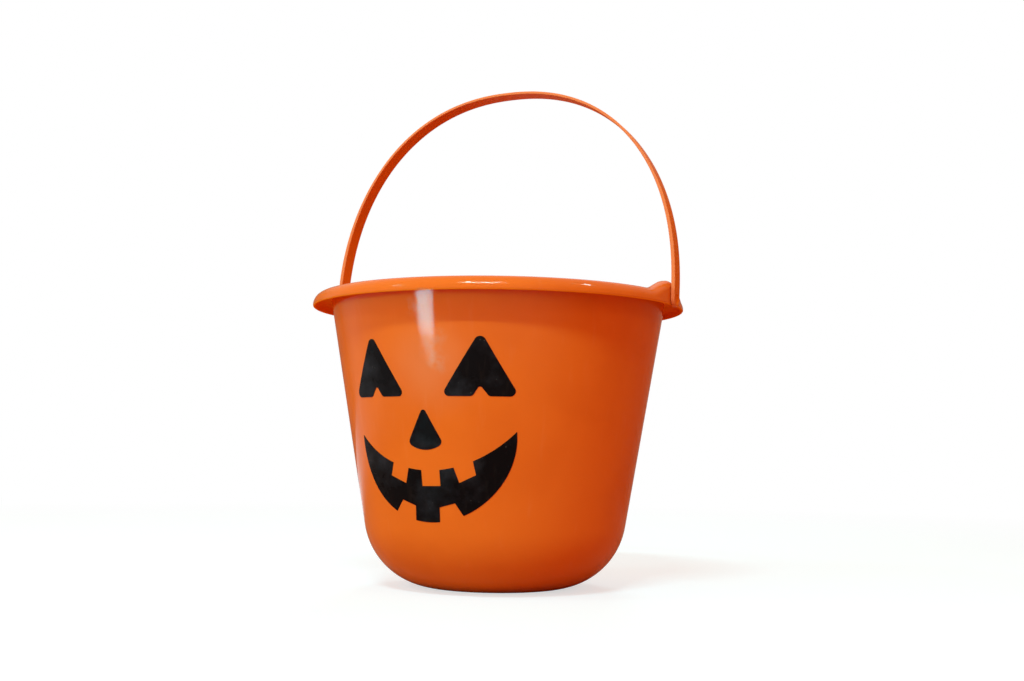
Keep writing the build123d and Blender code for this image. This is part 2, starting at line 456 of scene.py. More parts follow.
def pailSkin(depth):
    shift = depth * math.tan(math.pi / 8)
    panel = baseRadius - pail["footWidth"] - pail["baseRise"] + shift
    high = pail["baseRise"] + depth
    corners = [(0, high), (panel, high), (panel + pail["baseRise"], depth), (baseRadius, depth)]
    points = [(panel * share, high) for share in pail["panelRings"]]
    for start in (0, 1):
        points += roundCorner(*corners[start:start + 3], pail["stepRound"], pail["stepSteps"])
    filletCentre, fillet = (baseRadius, pail["baseFillet"]), pail["baseFillet"] - depth
    lower = arcPoints(filletCentre, fillet, -90, -pail["wallLean"], pail["filletSteps"])
    turnCentre, turn = (crestRadius, crestHeight - rimInner), rimInner - pail["wall"] + depth
    upper = arcPoints(turnCentre, turn, 180 - pail["wallLean"], 90, pail["turnSteps"])
    foot, top, count = Vector(lower[-1]), Vector(upper[0]), pail["wallSteps"]
    between = [tuple(foot.lerp(top, step / count)) for step in range(1, count)]
    rimCentre, rim = (crestRadius, pail["rimEdge"]), pail["rimRound"] - pail["wall"] + depth
    over = arcPoints(rimCentre, rim, 90, 0, pail["rimSteps"])
    return points + lower + between + upper + over[1:]


def withBreaks(points, radii):
    # two close points where an ear's side begins, so that it stands square
    lowest, half = pail["rimEdge"] * pail["earFrom"], pail["breakHalf"]
    kept = [points[0]]
    for before, after in zip(points, points[1:]):
        for radius in radii:
            if before[1] > lowest and before[0] < radius < after[0]:
                share = (radius - before[0]) / (after[0] - before[0])
                height = before[1] + (after[1] - before[1]) * share
                kept += [(radius - half, height), (radius + half, height)]
        kept.append(after)
    return kept


def pailProfile():
    earOut = pail["rimRadius"] - pail["earInset"]
    earIn = pail["earFace"] - pail["earDepth"]
    under = withBreaks(pailSkin(0.0), (earIn + pail["earWall"], earOut - pail["earWall"]))
    above = withBreaks(pailSkin(pail["wall"]), (earIn, earOut))
    edge = (pail["rimRadius"] - pail["wall"] / 2, pail["rimEdge"])
    bead = arcPoints(edge, pail["wall"] / 2, 180, 360, pail["beadSteps"])[1:-1]
    rows = under + bead + above[::-1]
    lower = len(under) + pail["beadSteps"] // 2
    skins = [0.0] * lower + [1.0] * (len(rows) - lower)
    return rows, skins


def pailTree(values):
    tree, given = startTree("pailLathe", values)
    profile = given["Geometry"]
    count = addNode(tree, "GeometryNodeAttributeDomainSize", {"Geometry": profile}).outputs[0]
    columns = plus(given["Steps Around"], 1)
    grid = addNode(tree, "GeometryNodeMeshGrid", {"Vertices X": columns, "Vertices Y": count})
    index = addNode(tree, "GeometryNodeInputIndex").outputs[0]
    column = calc("FLOOR", calc("DIVIDE", index, count))
    row = minus(index, times(column, count))
    named = addNode(tree, "GeometryNodeInputNamedAttribute", {"Name": "skin"}, data_type="FLOAT")
    inputs = {"Geometry": profile, "Index": row, "Value": pointPlace(tree)}
    point = addNode(tree, "GeometryNodeSampleIndex", inputs, data_type="FLOAT_VECTOR").outputs[0]
    inputs["Value"] = named.outputs[0]
    face = addNode(tree, "GeometryNodeSampleIndex", inputs, data_type="FLOAT").outputs[0]
    radius, _, height = xyz(point)

    # turn each profile point about the axis
    even = calc("DIVIDE", times(column, math.tau), given["Steps Around"])
    pull = times(calc("SINE", times(even, 2)), given["Crowding"])
    angle = minus(even, times(pull, 0.5))
    x = times(radius, calc("COSINE", angle))
    y = times(radius, calc("SINE", angle))

    # raise the rim into the ear, the lower skin by a wall less than the upper
    inset = times(given["Ear Wall"], minus(1, face))
    outSide = minus(minus(given["Rim Radius"], given["Ear Inset"]), inset)
    inSide = plus(minus(given["Ear Face"], given["Ear Depth"]), inset)
    corner = minus(given["Ear Round"], inset)
    within = calc("MINIMUM", minus(outSide, radius), minus(radius, inSide))
    short = calc("MAXIMUM", minus(corner, calc("MAXIMUM", within, 0)), 0)
    drop = calc("SQRT", minus(calc("POWER", corner, 2), calc("POWER", short, 2)))
    sink = plus(minus(corner, drop), inset)
    run = plus(calc("POWER", y, 2), calc("POWER", given["Ear Crown"], 2))
    run = minus(calc("SQRT", run), given["Ear Crown"])
    fall = calc("MULTIPLY_ADD", run, given["Ear Slope"], sink)
    crown = minus(given["Ear Top"], fall)
    raised = calc("SMOOTH_MAX", height, crown, given["Ear Blend"])
    above = calc("GREATER_THAN", height, given["Rim Edge"])
    onEar = times(calc("GREATER_THAN", within, 0), above)
    lifted = calc("MULTIPLY_ADD", minus(raised, height), onEar, height)
    flatX = calc("MINIMUM", x, given["Ear Face"])
    flatX = calc("MAXIMUM", flatX, times(given["Ear Face"], -1))
    turned = movePoints(grid.outputs["Mesh"], combine(flatX, y, lifted))
    closed = weldPoints(turned, given["Weld"])

    # a hole through each ear's flat for the handle's pin
    bored = addNode(tree, "GeometryNodeMeshBoolean", {"Mesh 1": closed}, operation="DIFFERENCE")
    depth = times(given["Ear Wall"], given["Drill Walls"])
    inputs = {"Vertices": given["Hole Sides"], "Radius": given["Pin Hole"], "Depth": depth}
    for side in (-1, 1):
        drill = addNode(tree, "GeometryNodeMeshCylinder", inputs)
        across = times(given["Ear Face"], side)
        placed = addNode(tree, "GeometryNodeTransform", {
            "Geometry": drill.outputs["Mesh"],
            "Translation": combine(across, 0, given["Pivot Height"]),
            "Rotation": (0, math.pi / 2, 0),
        })
        linkValue(bored.inputs["Mesh 2"], placed.outputs[0])

    # the rim's underside, which gets the material with painted bounce light: faces that look down outside
    # the wall, or back at it from the rim's edge
    spot = xyz(pointPlace(tree))
    facing = xyz(addNode(tree, "GeometryNodeInputNormal").outputs[0])
    out = calc("SQRT", plus(calc("POWER", spot[0], 2), calc("POWER", spot[1], 2)))
    away = plus(times(spot[0], facing[0]), times(spot[1], facing[1]))
    back = calc("LESS_THAN", calc("DIVIDE", away, out), given["Under Back"])
    back = times(back, calc("GREATER_THAN", out, given["Crest Radius"]))
    beyond = calc("GREATER_THAN", out, plus(given["Wall Top"], given["Under Gap"]))
    down = times(calc("LESS_THAN", facing[2], given["Under Down"]), beyond)
    under = calc("GREATER_THAN", plus(back, down), 0.5)
    endTree(bored.outputs["Mesh"], given["Material"], (under, given["Painted Bounce Material"]))
    return tree


def makePail():
    rows, skins = pailProfile()
    piece = meshObject("pailShell", [(radius, 0, height) for radius, height in rows])
    pointLayer(piece, "skin", skins)
    values = treeSizes(
        pail, "Steps Around", "Crowding", "Rim Radius", "Rim Edge", "Ear Slope", "Ear Crown", "Ear Top",
        "Ear Face", "Ear Inset", "Ear Depth", "Ear Round", "Ear Wall", "Ear Blend", "Pin Hole",
        "Hole Sides", "Drill Walls", "Under Back", "Under Down", "Under Gap", "Weld",
    )
    values |= {
        "Pivot Height": pivot.z, "Wall Top": wallTop, "Crest Radius": crestRadius,
        "Material": pailPlastic, "Painted Bounce Material": underPaintedBouncePlastic,
    }
    runTree(piece, pailTree(values), values)
    return piece


# handle: a flat strap bent over an arch, with a hub and a snap pin at each end
strap = {
    "width": 0.0085,
    "thick": 0.0015,
    "legExtra": 0.0005,    # the legs thicken outwards towards the hubs
    "legFrom": 0.5,    # between these shares of the way from the top to the hub
    "legFull": 0.9,
    "edgeRound": 0.00035,
    "edgeHighlightSpread": 4,    # how quickly the painted highlight along the edge sets in
    "sideGap": 0.0003,    # between the hub and the ear's flat
    "leg": 0.0045,    # straight, from the pivot up to the arch
    "rise": 0.1157,
    "archPower": 2.21,    # 2 is an ellipse, more is squarer
    "archSteps": 300,
    "lean": 5.4,    # degrees, backwards at rest
    "endTurn": 5,    # degrees between the rows round a hub's end
    "hubSteps": 14,    # rows in half a hub, of all that run inwards from its middle
    "hubRows": 17,
    "rowStep": 0.0016,
    "halfColumns": 9,
    "curlTurns": (25, 45, 62, 77, 90),
    "weld": 0.0000005,
    "dishRadius": 0.0025,    # round recess on each hub
    "dishDepth": 0.0005,
    "dishLip": 0.00025,
    "pinRadius": 0.00195,
    "pinSides": 40,
    "snapRadius": 0.0026,
    "snapTip": 0.0017,
    "snapLength": 0.0016,
    "snapSlit": 0.0007,
    "snapSoft": 0.0001,
}
strapSpan = pailHigh.x + strap["sideGap"] + strap["thick"] / 2


def strapLength():
    points = []
    for step in range(strap["archSteps"] + 1):
        angle = math.pi * step / strap["archSteps"]
        across = math.copysign(abs(math.cos(angle)) ** (2 / strap["archPower"]), math.cos(angle))
        up = max(math.sin(angle), 0.0) ** (2 / strap["archPower"])
        points.append(Vector((strapSpan * across, strap["rise"] * up)))
    return sum((after - before).length for before, after in zip(points, points[1:]))


def strapGrid(half):
    # where the rows and columns of the flat strap lie
    end, curl = strap["width"] / 2, strap["edgeRound"]
    turns = range(0, 91, strap["endTurn"])
    rows = [half + end * math.sin(math.radians(turn)) for turn in turns]
    rows += [half - end * step / strap["hubSteps"] for step in range(1, strap["hubRows"] + 1)]
    rows.sort()
    inner = rows[0]
    run = int(inner * 2 / strap["rowStep"])
    middle = [inner * (2 * step / run - 1) for step in range(1, run)]
    rows = [-row for row in reversed(rows)] + middle + rows
    count = strap["halfColumns"]
    flats = [(end - curl) * (step / count - 1) for step in range(2 * count + 1)]
    curls = [end - curl * (1 - math.sin(math.radians(turn))) for turn in strap["curlTurns"]]
    return rows, [-place for place in reversed(curls)] + flats + curls


def flatStrap(half):
    # the strap laid flat: hubs at -half and half, outer face up
    rows, columns = strapGrid(half)
    end, mid, curl = strap["width"] / 2, strap["thick"] / 2, strap["edgeRound"]
    points, faces, edgeHighlights = [], [], []
    for face in (1, -1):
        for along in rows:
            leg = (abs(along) / half - strap["legFrom"]) / (strap["legFull"] - strap["legFrom"])
            extra = strap["legExtra"] * smoothShare(leg) * (face == 1)
            beyond = max(abs(along) - half, 0)
            reach = math.sqrt(max(end * end - beyond * beyond, 0)) / end
            for column in columns:
                across = column * reach
                edge = max(curl - (end - math.hypot(beyond, across)), 0)
                drop = curl - math.sqrt(max(curl * curl - edge * edge, 0))
                if face == 1:
                    out = math.hypot(abs(along) - half, across) - strap["dishRadius"]
                    drop += strap["dishDepth"] * (1 - smoothShare(out / strap["dishLip"] / 2 + 0.5))
                points.append((along, across, face * (mid + extra - drop)))
                # where the painted edge highlight lies, kept in the edge attribute
                edgeHighlights.append(min(edge / curl * strap["edgeHighlightSpread"], 1.0))
    wide, total = len(columns), len(rows) * len(columns)
    for row in range(len(rows) - 1):
        for column in range(wide - 1):
            a = row * wide + column
            quad = (a, a + wide, a + wide + 1, a + 1)
            faces += [quad, tuple(total + corner for corner in reversed(quad))]
        near, far = row * wide, row * wide + wide - 1
        faces.append((near, total + near, total + near + wide, near + wide))
        faces.append((far, far + wide, total + far + wide, total + far))
    return points, faces, edgeHighlights


def strapTree(values):
    tree, given = startTree("strapBend", values)
    # the arch as a curve, with a straight leg at both ends
    index = addNode(tree, "GeometryNodeInputIndex").outputs[0]
    line = addNode(tree, "GeometryNodeMeshLine", {"Count": plus(given["Arch Steps"], 3)})
    share = calc("DIVIDE", minus(index, 1), given["Arch Steps"])
    share = calc("MINIMUM", calc("MAXIMUM", share, 0), 1)
    angle = times(share, math.pi)
    power = calc("DIVIDE", 2, given["Arch Power"])
    cosine = calc("COSINE", angle)
    across = calc("POWER", calc("ABSOLUTE", cosine), power)
    across = times(times(across, calc("SIGN", cosine)), given["Span"])
    up = calc("POWER", calc("MAXIMUM", calc("SINE", angle), 0), power)
    first = calc("LESS_THAN", index, 0.5)
    last = calc("GREATER_THAN", index, plus(given["Arch Steps"], 1.5))
    low = times(plus(first, last), given["Leg"])
    height = calc("MULTIPLY_ADD", up, given["Rise"], given["Spring Height"])
    arch = movePoints(line.outputs[0], combine(across, 0, minus(height, low)))
    path = addNode(tree, "GeometryNodeMeshToCurve", {"Mesh": arch}).outputs[0]
    total = addNode(tree, "GeometryNodeCurveLength", {"Curve": path}).outputs[0]

    # each point of the flat strap goes to its place along the curve
    flat = xyz(pointPlace(tree))
    along = minus(times(total, 0.5), flat[0])
    spot = addNode(tree, "GeometryNodeSampleCurve", {"Curves": path, "Length": along}, mode="LENGTH")
    at, way = xyz(spot.outputs["Position"]), xyz(spot.outputs["Tangent"])
    bentX = calc("MULTIPLY_ADD", way[2], flat[2], at[0])
    bentZ = minus(at[2], times(way[0], flat[2]))
    tipped = addNode(tree, "ShaderNodeVectorRotate", {
        "Vector": combine(bentX, flat[1], bentZ), "Center": combine(0, 0, given["Pivot Height"]),
        "Angle": times(given["Lean"], -1),
    }, rotation_type="X_AXIS")
    endTree(movePoints(given["Geometry"], tipped.outputs[0]), given["Material"])
    return tree


def pinMesh(side):
    # shank, then a split head that snaps behind the ear's wall
    head = pailHigh.x - pail["earWall"] - strap["sideGap"]
    split = pailHigh.x - pail["earWall"] / 2
    made = bmesh.new()

    def ring(x, radius, half):
        # half is 0 for a whole ring, or 1 or -1 for the prong above or below the slit
        if not half:
            turns = [math.tau * step / strap["pinSides"] for step in range(strap["pinSides"])]
        else:
            low, count = math.asin(strap["snapSlit"] / 2 / radius), strap["pinSides"] // 2
            turns = [low + (math.pi - 2 * low) * step / count for step in range(count + 1)]
        points = []
        for turn in turns:
            y, z = radius * math.cos(turn), radius * math.sin(turn) * (half or 1)
            points.append(made.verts.new((side * x, y, pivot.z + z)))
        return points

    def skinRings(rings):
        for near, far in zip(rings, rings[1:]):
            for place in range(len(near)):
                after = (place + 1) % len(near)
                made.faces.new((near[place], near[after], far[after], far[place]))
        made.faces.new(rings[0])
        made.faces.new(rings[-1])

    soft = strap["snapSoft"]
    skinRings([ring(strapSpan, strap["pinRadius"], 0), ring(split, strap["pinRadius"], 0)])
    for half in (1, -1):
        skinRings([
            ring(split, strap["pinRadius"], half),
            ring(head, strap["pinRadius"], half),
            ring(head, strap["snapRadius"] - soft, half),
            ring(head - soft, strap["snapRadius"], half),
            ring(head - strap["snapLength"] + soft, strap["snapTip"] + soft, half),
            ring(head - strap["snapLength"], strap["snapTip"] - soft, half),
        ])
    bmesh.ops.recalc_face_normals(made, faces=made.faces)
    tip = Matrix.Rotation(-math.radians(strap["lean"]), 4, "X")
    made.transform(Matrix.Translation(pivot) @ tip @ Matrix.Translation(-pivot))
    for face in made.faces:
        face.smooth = True
    mesh = bpy.data.meshes.new("pin")
    made.to_mesh(mesh)
    made.free()
    return mesh


def makeHandle():
    points, faces, edgeHighlights = flatStrap(strapLength() / 2 + strap["leg"])
    piece = meshObject("strapHandle", points, faces)
    pointLayer(piece, "edge", edgeHighlights)
    shape = bmesh.new()
    shape.from_mesh(piece.data)
    bmesh.ops.remove_doubles(shape, verts=shape.verts, dist=strap["weld"])
    shape.to_mesh(piece.data)
    shape.free()
    values = treeSizes(strap, "Rise", "Arch Power", "Arch Steps") | {
        "Span": strapSpan, "Spring Height": pivot.z + strap["leg"],
        "Leg": strap["leg"] + strap["width"] / 2, "Pivot Height": pivot.z,
        "Lean": math.radians(strap["lean"]), "Material": handlePlastic,
    }
    runTree(piece, strapTree(values), values)
    whole = bmesh.new()
    whole.from_mesh(piece.data)
    for side in (-1, 1):
        pin = pinMesh(side)
        whole.from_mesh(pin)
        bpy.data.meshes.remove(pin)
    whole.to_mesh(piece.data)
    whole.free()
    piece.data.set_sharp_from_angle(angle=sharpAngle)
    return piece


# face: four films cut to shape and laid on the wall
film = {
    "thick": 0.0002,
    "adhesive": 0.00002,
    "edgeStep": 0.0009,
    "fillStep": 0.0022,
    "rowShare": 0.866,    # of the fill's step, from row to row
    "edgeClear": 0.45,    # of the step, left free along the edge
    "least": 1e-7,    # shorter gaps in an outline are dropped
    "cutFine": 1e-8,
    "weld": 0.000002,
    "faceHeight": 0.0907036,    # middle of the wall, which the films are laid out from
}
eye = {
    "baseRise": 0.0078,
    "innerX": {1: 0.0097, -1: 0.0104},    # right and left film
    "outerX": {1: 0.0456, -1: 0.0461},
    "apexX": 0.0307,
    "height": 0.0314,
    "notchX": 0.0288,
    "notchWidth": 0.0076,
    "notchTop": 0.0013,
    "notchHeight": 0.0046,
    "rounds": (0.0021, 0.0024, 0.0011, 0.0011, 0.0018, 0.0027, 0.0027),
}
nose = {
    "x": -0.0005,
    "apexRise": 0.0029,
    "height": 0.0177,
    "width": 0.0191,
    "belly": 0.0034,
    "apexRound": 0.0015,
    "cornerRound": 0.0024,
    "cornerSteps": 8,
    "lowerSteps": 12,
}
mouth = {
    "tipDrop": 0.0101,
    "tipSkew": 0.0011,    # the right tip sits higher than the left one
    "width": 0.0866,
    "upperDrop": 0.0181,
    "lowerDrop": 0.0434,
    "upperTooth": (0.0101, 0.0100, 0.0076),    # root, tip, depth
    "upperPlaces": (-0.0162, 0.0013, 0.0188),    # along the lip
    "lowerTooth": (0.0129, 0.0084, -0.0073),    # the depth points up
    "lowerPlaces": (-0.0148, 0.0113),
    "outerFrom": 0.005,    # upper teeth further out than this have a raised outer corner
    "outerLift": 0.0011,
    "outerIn": {-1: -0.0002, 1: 0.0010},
    "rootRounds": 6,    # to find where a tooth's side meets the curved lip
}


def eyeOutline(side):
    base = film["faceHeight"] + eye["baseRise"]
    high = base + eye["notchHeight"]
    notch, wide, narrow = eye["notchX"], eye["notchWidth"] / 2, eye["notchTop"] / 2
    corners = [
        (eye["innerX"][side], base), (notch - wide, base), (notch - narrow, high), (notch + narrow, high),
        (notch + wide, base), (eye["outerX"][side], base), (eye["apexX"], base + eye["height"]),
    ]
    loop = [(side * x, z) for x, z in roundedLoop(corners, eye["rounds"])]
    return loop if side > 0 else loop[::-1]


def noseOutline():
    apex = film["faceHeight"] + nose["apexRise"]
    half, low, curve = nose["width"] / 2, -nose["height"], nose["cornerRound"]
    bulge = (half * half + nose["belly"] ** 2) / (2 * nose["belly"])
    centre = Vector((0, low - nose["belly"] + bulge))
    # the corner's round touches the straight side and the bulging lower edge
    side = Vector((half, low)).normalized()
    inward = Vector((side.y, -side.x))
    start = inward * curve - centre
    reach = bulge - curve
    lead = start.dot(side)
    run = -lead + math.sqrt(lead * lead - start.length_squared + reach * reach)
    spot = inward * curve + side * run
    touch = centre + (spot - centre).normalized() * bulge
    first, last = touch - spot, -inward * curve
    corner = []
    for step in range(nose["cornerSteps"] + 1):
        way = first.slerp(last, step / nose["cornerSteps"]).normalized()
        corner.append(spot + way * curve)
    sweep = math.atan2(touch.x, centre.y - touch.y)
    lower = []
    for step in range(1, nose["lowerSteps"]):
        angle = sweep * (2 * step / nose["lowerSteps"] - 1)
        lower.append(centre + bulge * Vector((math.sin(angle), -math.cos(angle))))
    tip = roundCorner((half, low), (0, 0), (-half, low), nose["apexRound"])
    mirrored = [Vector((-point.x, point.y)) for point in reversed(corner)]
    loop = mirrored + lower + corner + [Vector(point) for point in tip]
    return [(nose["x"] + point.x, apex + point.y) for point in loop]


def lipPath(drop, tooth, places):
    half = mouth["width"] / 2
    radius = (half * half + drop * drop) / (2 * drop)
    tipHeight = film["faceHeight"] - mouth["tipDrop"]
    centre = Vector((0, tipHeight - drop + radius))
    root, tip, depth = tooth
    limit = math.atan2(half, radius - drop)
    meet = 0.0
    for _ in range(mouth["rootRounds"]):
        wide = root / 2 + (tip - root) / 2 * meet
        meet = (math.sqrt(radius * radius - wide * wide) - radius) / depth
    sweep = math.asin(wide / radius)
    points, start = [], -limit

    def lipTo(end):
        steps = max(int(abs(end - start) * radius / film["edgeStep"]), 1)
        for step in range(steps + 1):
            angle = start + (end - start) * step / steps
            points.append(centre + radius * Vector((math.sin(angle), -math.cos(angle))))

    for place in places:
        middle = place / radius
        lipTo(middle - sweep)
        for hand in (-1, 1):
            local = Vector((hand * tip / 2, -radius - depth))
            if depth > 0 and hand * place > mouth["outerFrom"]:
                local += Vector((-hand * mouth["outerIn"][hand], mouth["outerLift"]))
            points.append(centre + Matrix.Rotation(middle, 2) @ local)
        start = middle + sweep
    lipTo(limit)
    return [tuple(point) for point in points]


def mouthOutline():
    upper = lipPath(mouth["upperDrop"], mouth["upperTooth"], mouth["upperPlaces"])
    lower = lipPath(mouth["lowerDrop"], mouth["lowerTooth"], mouth["lowerPlaces"])
    half = mouth["width"] / 2
    return [(x, z + mouth["tipSkew"] * (x / half) ** 3) for x, z in lower[:-1] + upper[::-1][:-1]]


def insideLoop(point, loop):
    inside = False
    for (ax, ay), (bx, by) in zip(loop, loop[1:] + loop[:1]):
        if (ay > point[1]) != (by > point[1]) and point[0] < ax + (bx - ax) * (point[1] - ay) / (by - ay):
            inside = not inside
    return inside


def edgeDistance(point, loop):
    spot, least = Vector(point), 1.0
    for near, far in zip(loop, loop[1:] + loop[:1]):
        near, far = Vector(near), Vector(far)
        run = far - near
        share = min(max((spot - near).dot(run) / run.length_squared, 0), 1)
        least = min(least, (spot - near - run * share).length)
    return least


def cutFilm(outline):
    loop = []
    for near, far in zip(outline, outline[1:] + outline[:1]):
        gap = math.dist(near, far)
        if gap < film["least"]:
            continue
        steps = max(math.ceil(gap / film["edgeStep"]), 1)
        for step in range(steps):
            share = step / steps
            loop.append((near[0] + (far[0] - near[0]) * share, near[1] + (far[1] - near[1]) * share))
    points = [Vector(point) for point in loop]
    lowX, highX = min(x for x, _ in loop), max(x for x, _ in loop)
    lowZ, highZ = min(z for _, z in loop), max(z for _, z in loop)
    step, row = film["fillStep"], 0
    while lowZ + row * step * film["rowShare"] < highZ:
        x = lowX + (row % 2) * step / 2
        while x < highX:
            spot = (x, lowZ + row * step * film["rowShare"])
            if insideLoop(spot, loop) and edgeDistance(spot, loop) > step * film["edgeClear"]:
                points.append(Vector(spot))
            x += step
        row += 1
    made = delaunay_2d_cdt(points, [], [list(range(len(loop)))], 1, film["cutFine"])
    return [(x, 0, z) for x, z in made[0]], [tuple(face) for face in made[2]]


def filmTree(values):
    tree, given = startTree("filmWrap", values)
    x, _, z = xyz(pointPlace(tree))
    rise = minus(z, given["Top Height"])
    radius = calc("MULTIPLY_ADD", rise, calc("TANGENT", given["Lean"]), given["Wall Top"])
    lift = calc("DIVIDE", given["Adhesive"], calc("COSINE", given["Lean"]))
    out = calc("POWER", plus(radius, lift), 2)
    y = calc("SQRT", minus(out, calc("POWER", x, 2)))
    laid = movePoints(given["Geometry"], combine(x, times(y, -1), z))
    inputs = {"Mesh": laid, "Offset Scale": given["Thickness"], "Individual": False}
    thick = addNode(tree, "GeometryNodeExtrudeMesh", inputs, mode="FACES")
    back = addNode(tree, "GeometryNodeFlipFaces", {"Mesh": laid})
    whole = addNode(tree, "GeometryNodeJoinGeometry")
    linkValue(whole.inputs[0], thick.outputs["Mesh"])
    linkValue(whole.inputs[0], back.outputs[0])
    endTree(weldPoints(whole.outputs[0], given["Weld"]), given["Material"])
    return tree


def makeFilm(name, outline, tree, values):
    points, faces = cutFilm(outline)
    piece = meshObject(name, points, faces)
    runTree(piece, tree, values)
    return piece


pailPlastic = mouldedPlastic("pailPlastic", pailLook)
# painted bounce light: the underside's colour is lighter than the pail's own
underPaintedBouncePlastic = mouldedPlastic("underPaintedBouncePlastic", underPaintedBounceLook)
handlePlastic = mouldedPlastic("handlePlastic", handleLook)
blackVinyl = vinylFilm("blackVinyl", vinylLook)
print("finishes ready")

pailShell = makePail()
strapHandle = makeHandle()
wrapValues = {
    "Wall Top": wallTop, "Top Height": pail["rimEdge"], "Lean": lean, "Adhesive": film["adhesive"],
    "Thickness": film["thick"], "Weld": film["weld"], "Material": blackVinyl,
}
wrap = filmTree(wrapValues)
rightEye = makeFilm("rightEyeFilm", eyeOutline(1), wrap, wrapValues)
leftEye = makeFilm("leftEyeFilm", eyeOutline(-1), wrap, wrapValues)
noseFilm = makeFilm("noseFilm", noseOutline(), wrap, wrapValues)
mouthFilm = makeFilm("mouthFilm", mouthOutline(), wrap, wrapValues)

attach(pailShell, "pail")
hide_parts("pail_body")
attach(strapHandle, "handle")
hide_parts("carry_handle")
for piece, node in (
    (rightEye, "right_eye_sticker"), (leftEye, "left_eye_sticker"),
    (noseFilm, "nose_sticker"), (mouthFilm, "mouth_sticker"),
):
    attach(piece, "pail")
    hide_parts(node)
print("pieces ride on their bodies")


# stage: pale floor, white surround, soft lamps, bright panes for the gloss and warm screens
stage = {
    "floorHalf": 6.0,
    "floorColour": (0.38, 0.47, 0.51, 1),
    "bounceColour": (0.58, 0.25, 0.16, 1),    # what the floor sends back up at the pail
    "floorGlow": 0.64,
    "fadeFrom": 0.35,    # the floor turns plain white between these distances
    "fadeTo": 1.1,
    "surround": 1.16,
    "surroundColour": (1.0, 0.43, 0.20, 1),
    "overhead": 0.4,    # share of it that is left straight above
    "overheadFrom": 0.25,    # upward part of the direction where it begins to fall
    "overheadTo": 0.95,
    "target": (0, 0, 0.11),    # what the lamps point at
    "lampAway": 1.6,
}
lamps = {    # soft, and not seen in the gloss
    "leftLamp": {"turn": -45, "rise": 35, "size": (0.25, 0.06), "glow": 62, "tint": (0.40, 0.95, 1.0)},
    "frontLamp": {"turn": -24, "rise": 4, "size": (0.50, 0.25), "glow": 24, "tint": (0.20, 0.86, 1.0)},
    "topLamp": {"turn": 13, "rise": 46.5, "size": (0.45, 0.05), "glow": 196, "tint": (0.58, 0.97, 1.0)},
    "sideLamp": {"turn": 79, "rise": 31, "size": (0.26, 0.10), "glow": 20, "tint": (0.72, 0.80, 0.8)},
    "rearLamp": {"turn": 198, "rise": 42, "size": (0.60, 0.40), "glow": 10, "tint": (0.62, 0.97, 1.0)},
}
glints = {    # panes that only the gloss shows
    "leftGlint": {"turn": -41, "rise": 33, "half": (0.05, 0.10), "glow": 125},
    "topGlint": {"turn": 14, "rise": 50, "half": (0.30, 0.12), "glow": 118},
    "backGlint": {"turn": 103, "rise": 55, "half": (0.10, 0.10), "glow": 62},
}
glintTint = (0.50, 0.95, 1.0, 1)
window = {    # low bright pane, with a slanted foot, that the front shows as an upright strip
    "place": (-0.211, -0.557, 0.0345),
    "half": (0.055, 0.024),
    "glow": 92,
    "tint": (0.19, 0.82, 0.93, 1),
    "outline": ((-1, 1), (1, 1), (1, -1.15), (0.35, -0.95), (-1, -0.45)),
}
flags = {    # warm dark screens on the shaded side, which the camera doesn't see
    "farFlag": {"radius": 1.15, "from": 52, "to": 272, "top": 0.95, "fade": 20, "glossOnly": False},
    "nearFlag": {"radius": 0.32, "from": 45, "to": 215, "top": 0.42, "fade": 30, "glossOnly": True},
}
flagMesh = {"turnStep": 5, "levels": 12, "foot": 0.001, "fadeShare": 0.5}    # the upper share fades
flagColour = (0.45, 0.27, 0.20, 1)
mat = {"hole": 0.001, "full": 0.36, "radius": 0.60, "height": 0.0006, "steps": 64}    # for the gloss


def lightPathShare(tree):
    rays = addNode(tree, "ShaderNodeLightPath").outputs
    seen = calc("MAXIMUM", rays["Is Camera Ray"], rays["Is Glossy Ray"])
    return calc("MAXIMUM", seen, rays["Is Transmission Ray"])


def mixShaders(factor, first, second):
    return fillNode(addNode(factor.id_data, "ShaderNodeMixShader"), factor, first, second)


def makeFloor():
    half = stage["floorHalf"]
    corners = [(-half, -half, 0), (half, -half, 0), (half, half, 0), (-half, half, 0)]
    floor = meshObject("floor", corners, [(0, 1, 2, 3)])
    material, tree = emptyMaterial("paleFloor")
    place = addNode(tree, "ShaderNodeTexCoord").outputs["Object"]
    away = addNode(tree, "ShaderNodeVectorMath", {"Vector": place}, operation="LENGTH").outputs["Value"]
    lit = addNode(tree, "ShaderNodeBsdfDiffuse", {"Color": stage["floorColour"]}).outputs[0]
    glow = addNode(tree, "ShaderNodeEmission", {"Strength": stage["floorGlow"]}).outputs[0]
    near = fillNode(addNode(tree, "ShaderNodeAddShader"), lit, glow)
    white = addNode(tree, "ShaderNodeEmission", {"Strength": 1.0}).outputs[0]
    seen = mixShaders(mapRange(away, stage["fadeFrom"], stage["fadeTo"]), near, white)
    bounce = addNode(tree, "ShaderNodeBsdfDiffuse", {"Color": stage["bounceColour"]}).outputs[0]
    both = mixShaders(lightPathShare(tree), bounce, seen)
    addNode(tree, "ShaderNodeOutputMaterial", {"Surface": both})
    floor.data.materials.append(material)


def makeSurround():
    world = bpy.data.worlds.new("surround")
    bpy.context.scene.world = world
    world.use_nodes = True
    tree = world.node_tree
    tree.nodes.clear()
    up = xyz(addNode(tree, "ShaderNodeTexCoord").outputs["Generated"])[2]
    level = stage["surround"]
    above = level * stage["overhead"]
    strength = mapRange(up, stage["overheadFrom"], stage["overheadTo"], level, above)
    inputs = {"Color": stage["surroundColour"], "Strength": strength}
    soft = addNode(tree, "ShaderNodeBackground", inputs).outputs[0]
    white = addNode(tree, "ShaderNodeBackground", {"Color": (1, 1, 1, 1), "Strength": 1.0}).outputs[0]
    addNode(tree, "ShaderNodeOutputWorld", {"Surface": mixShaders(lightPathShare(tree), soft, white)})


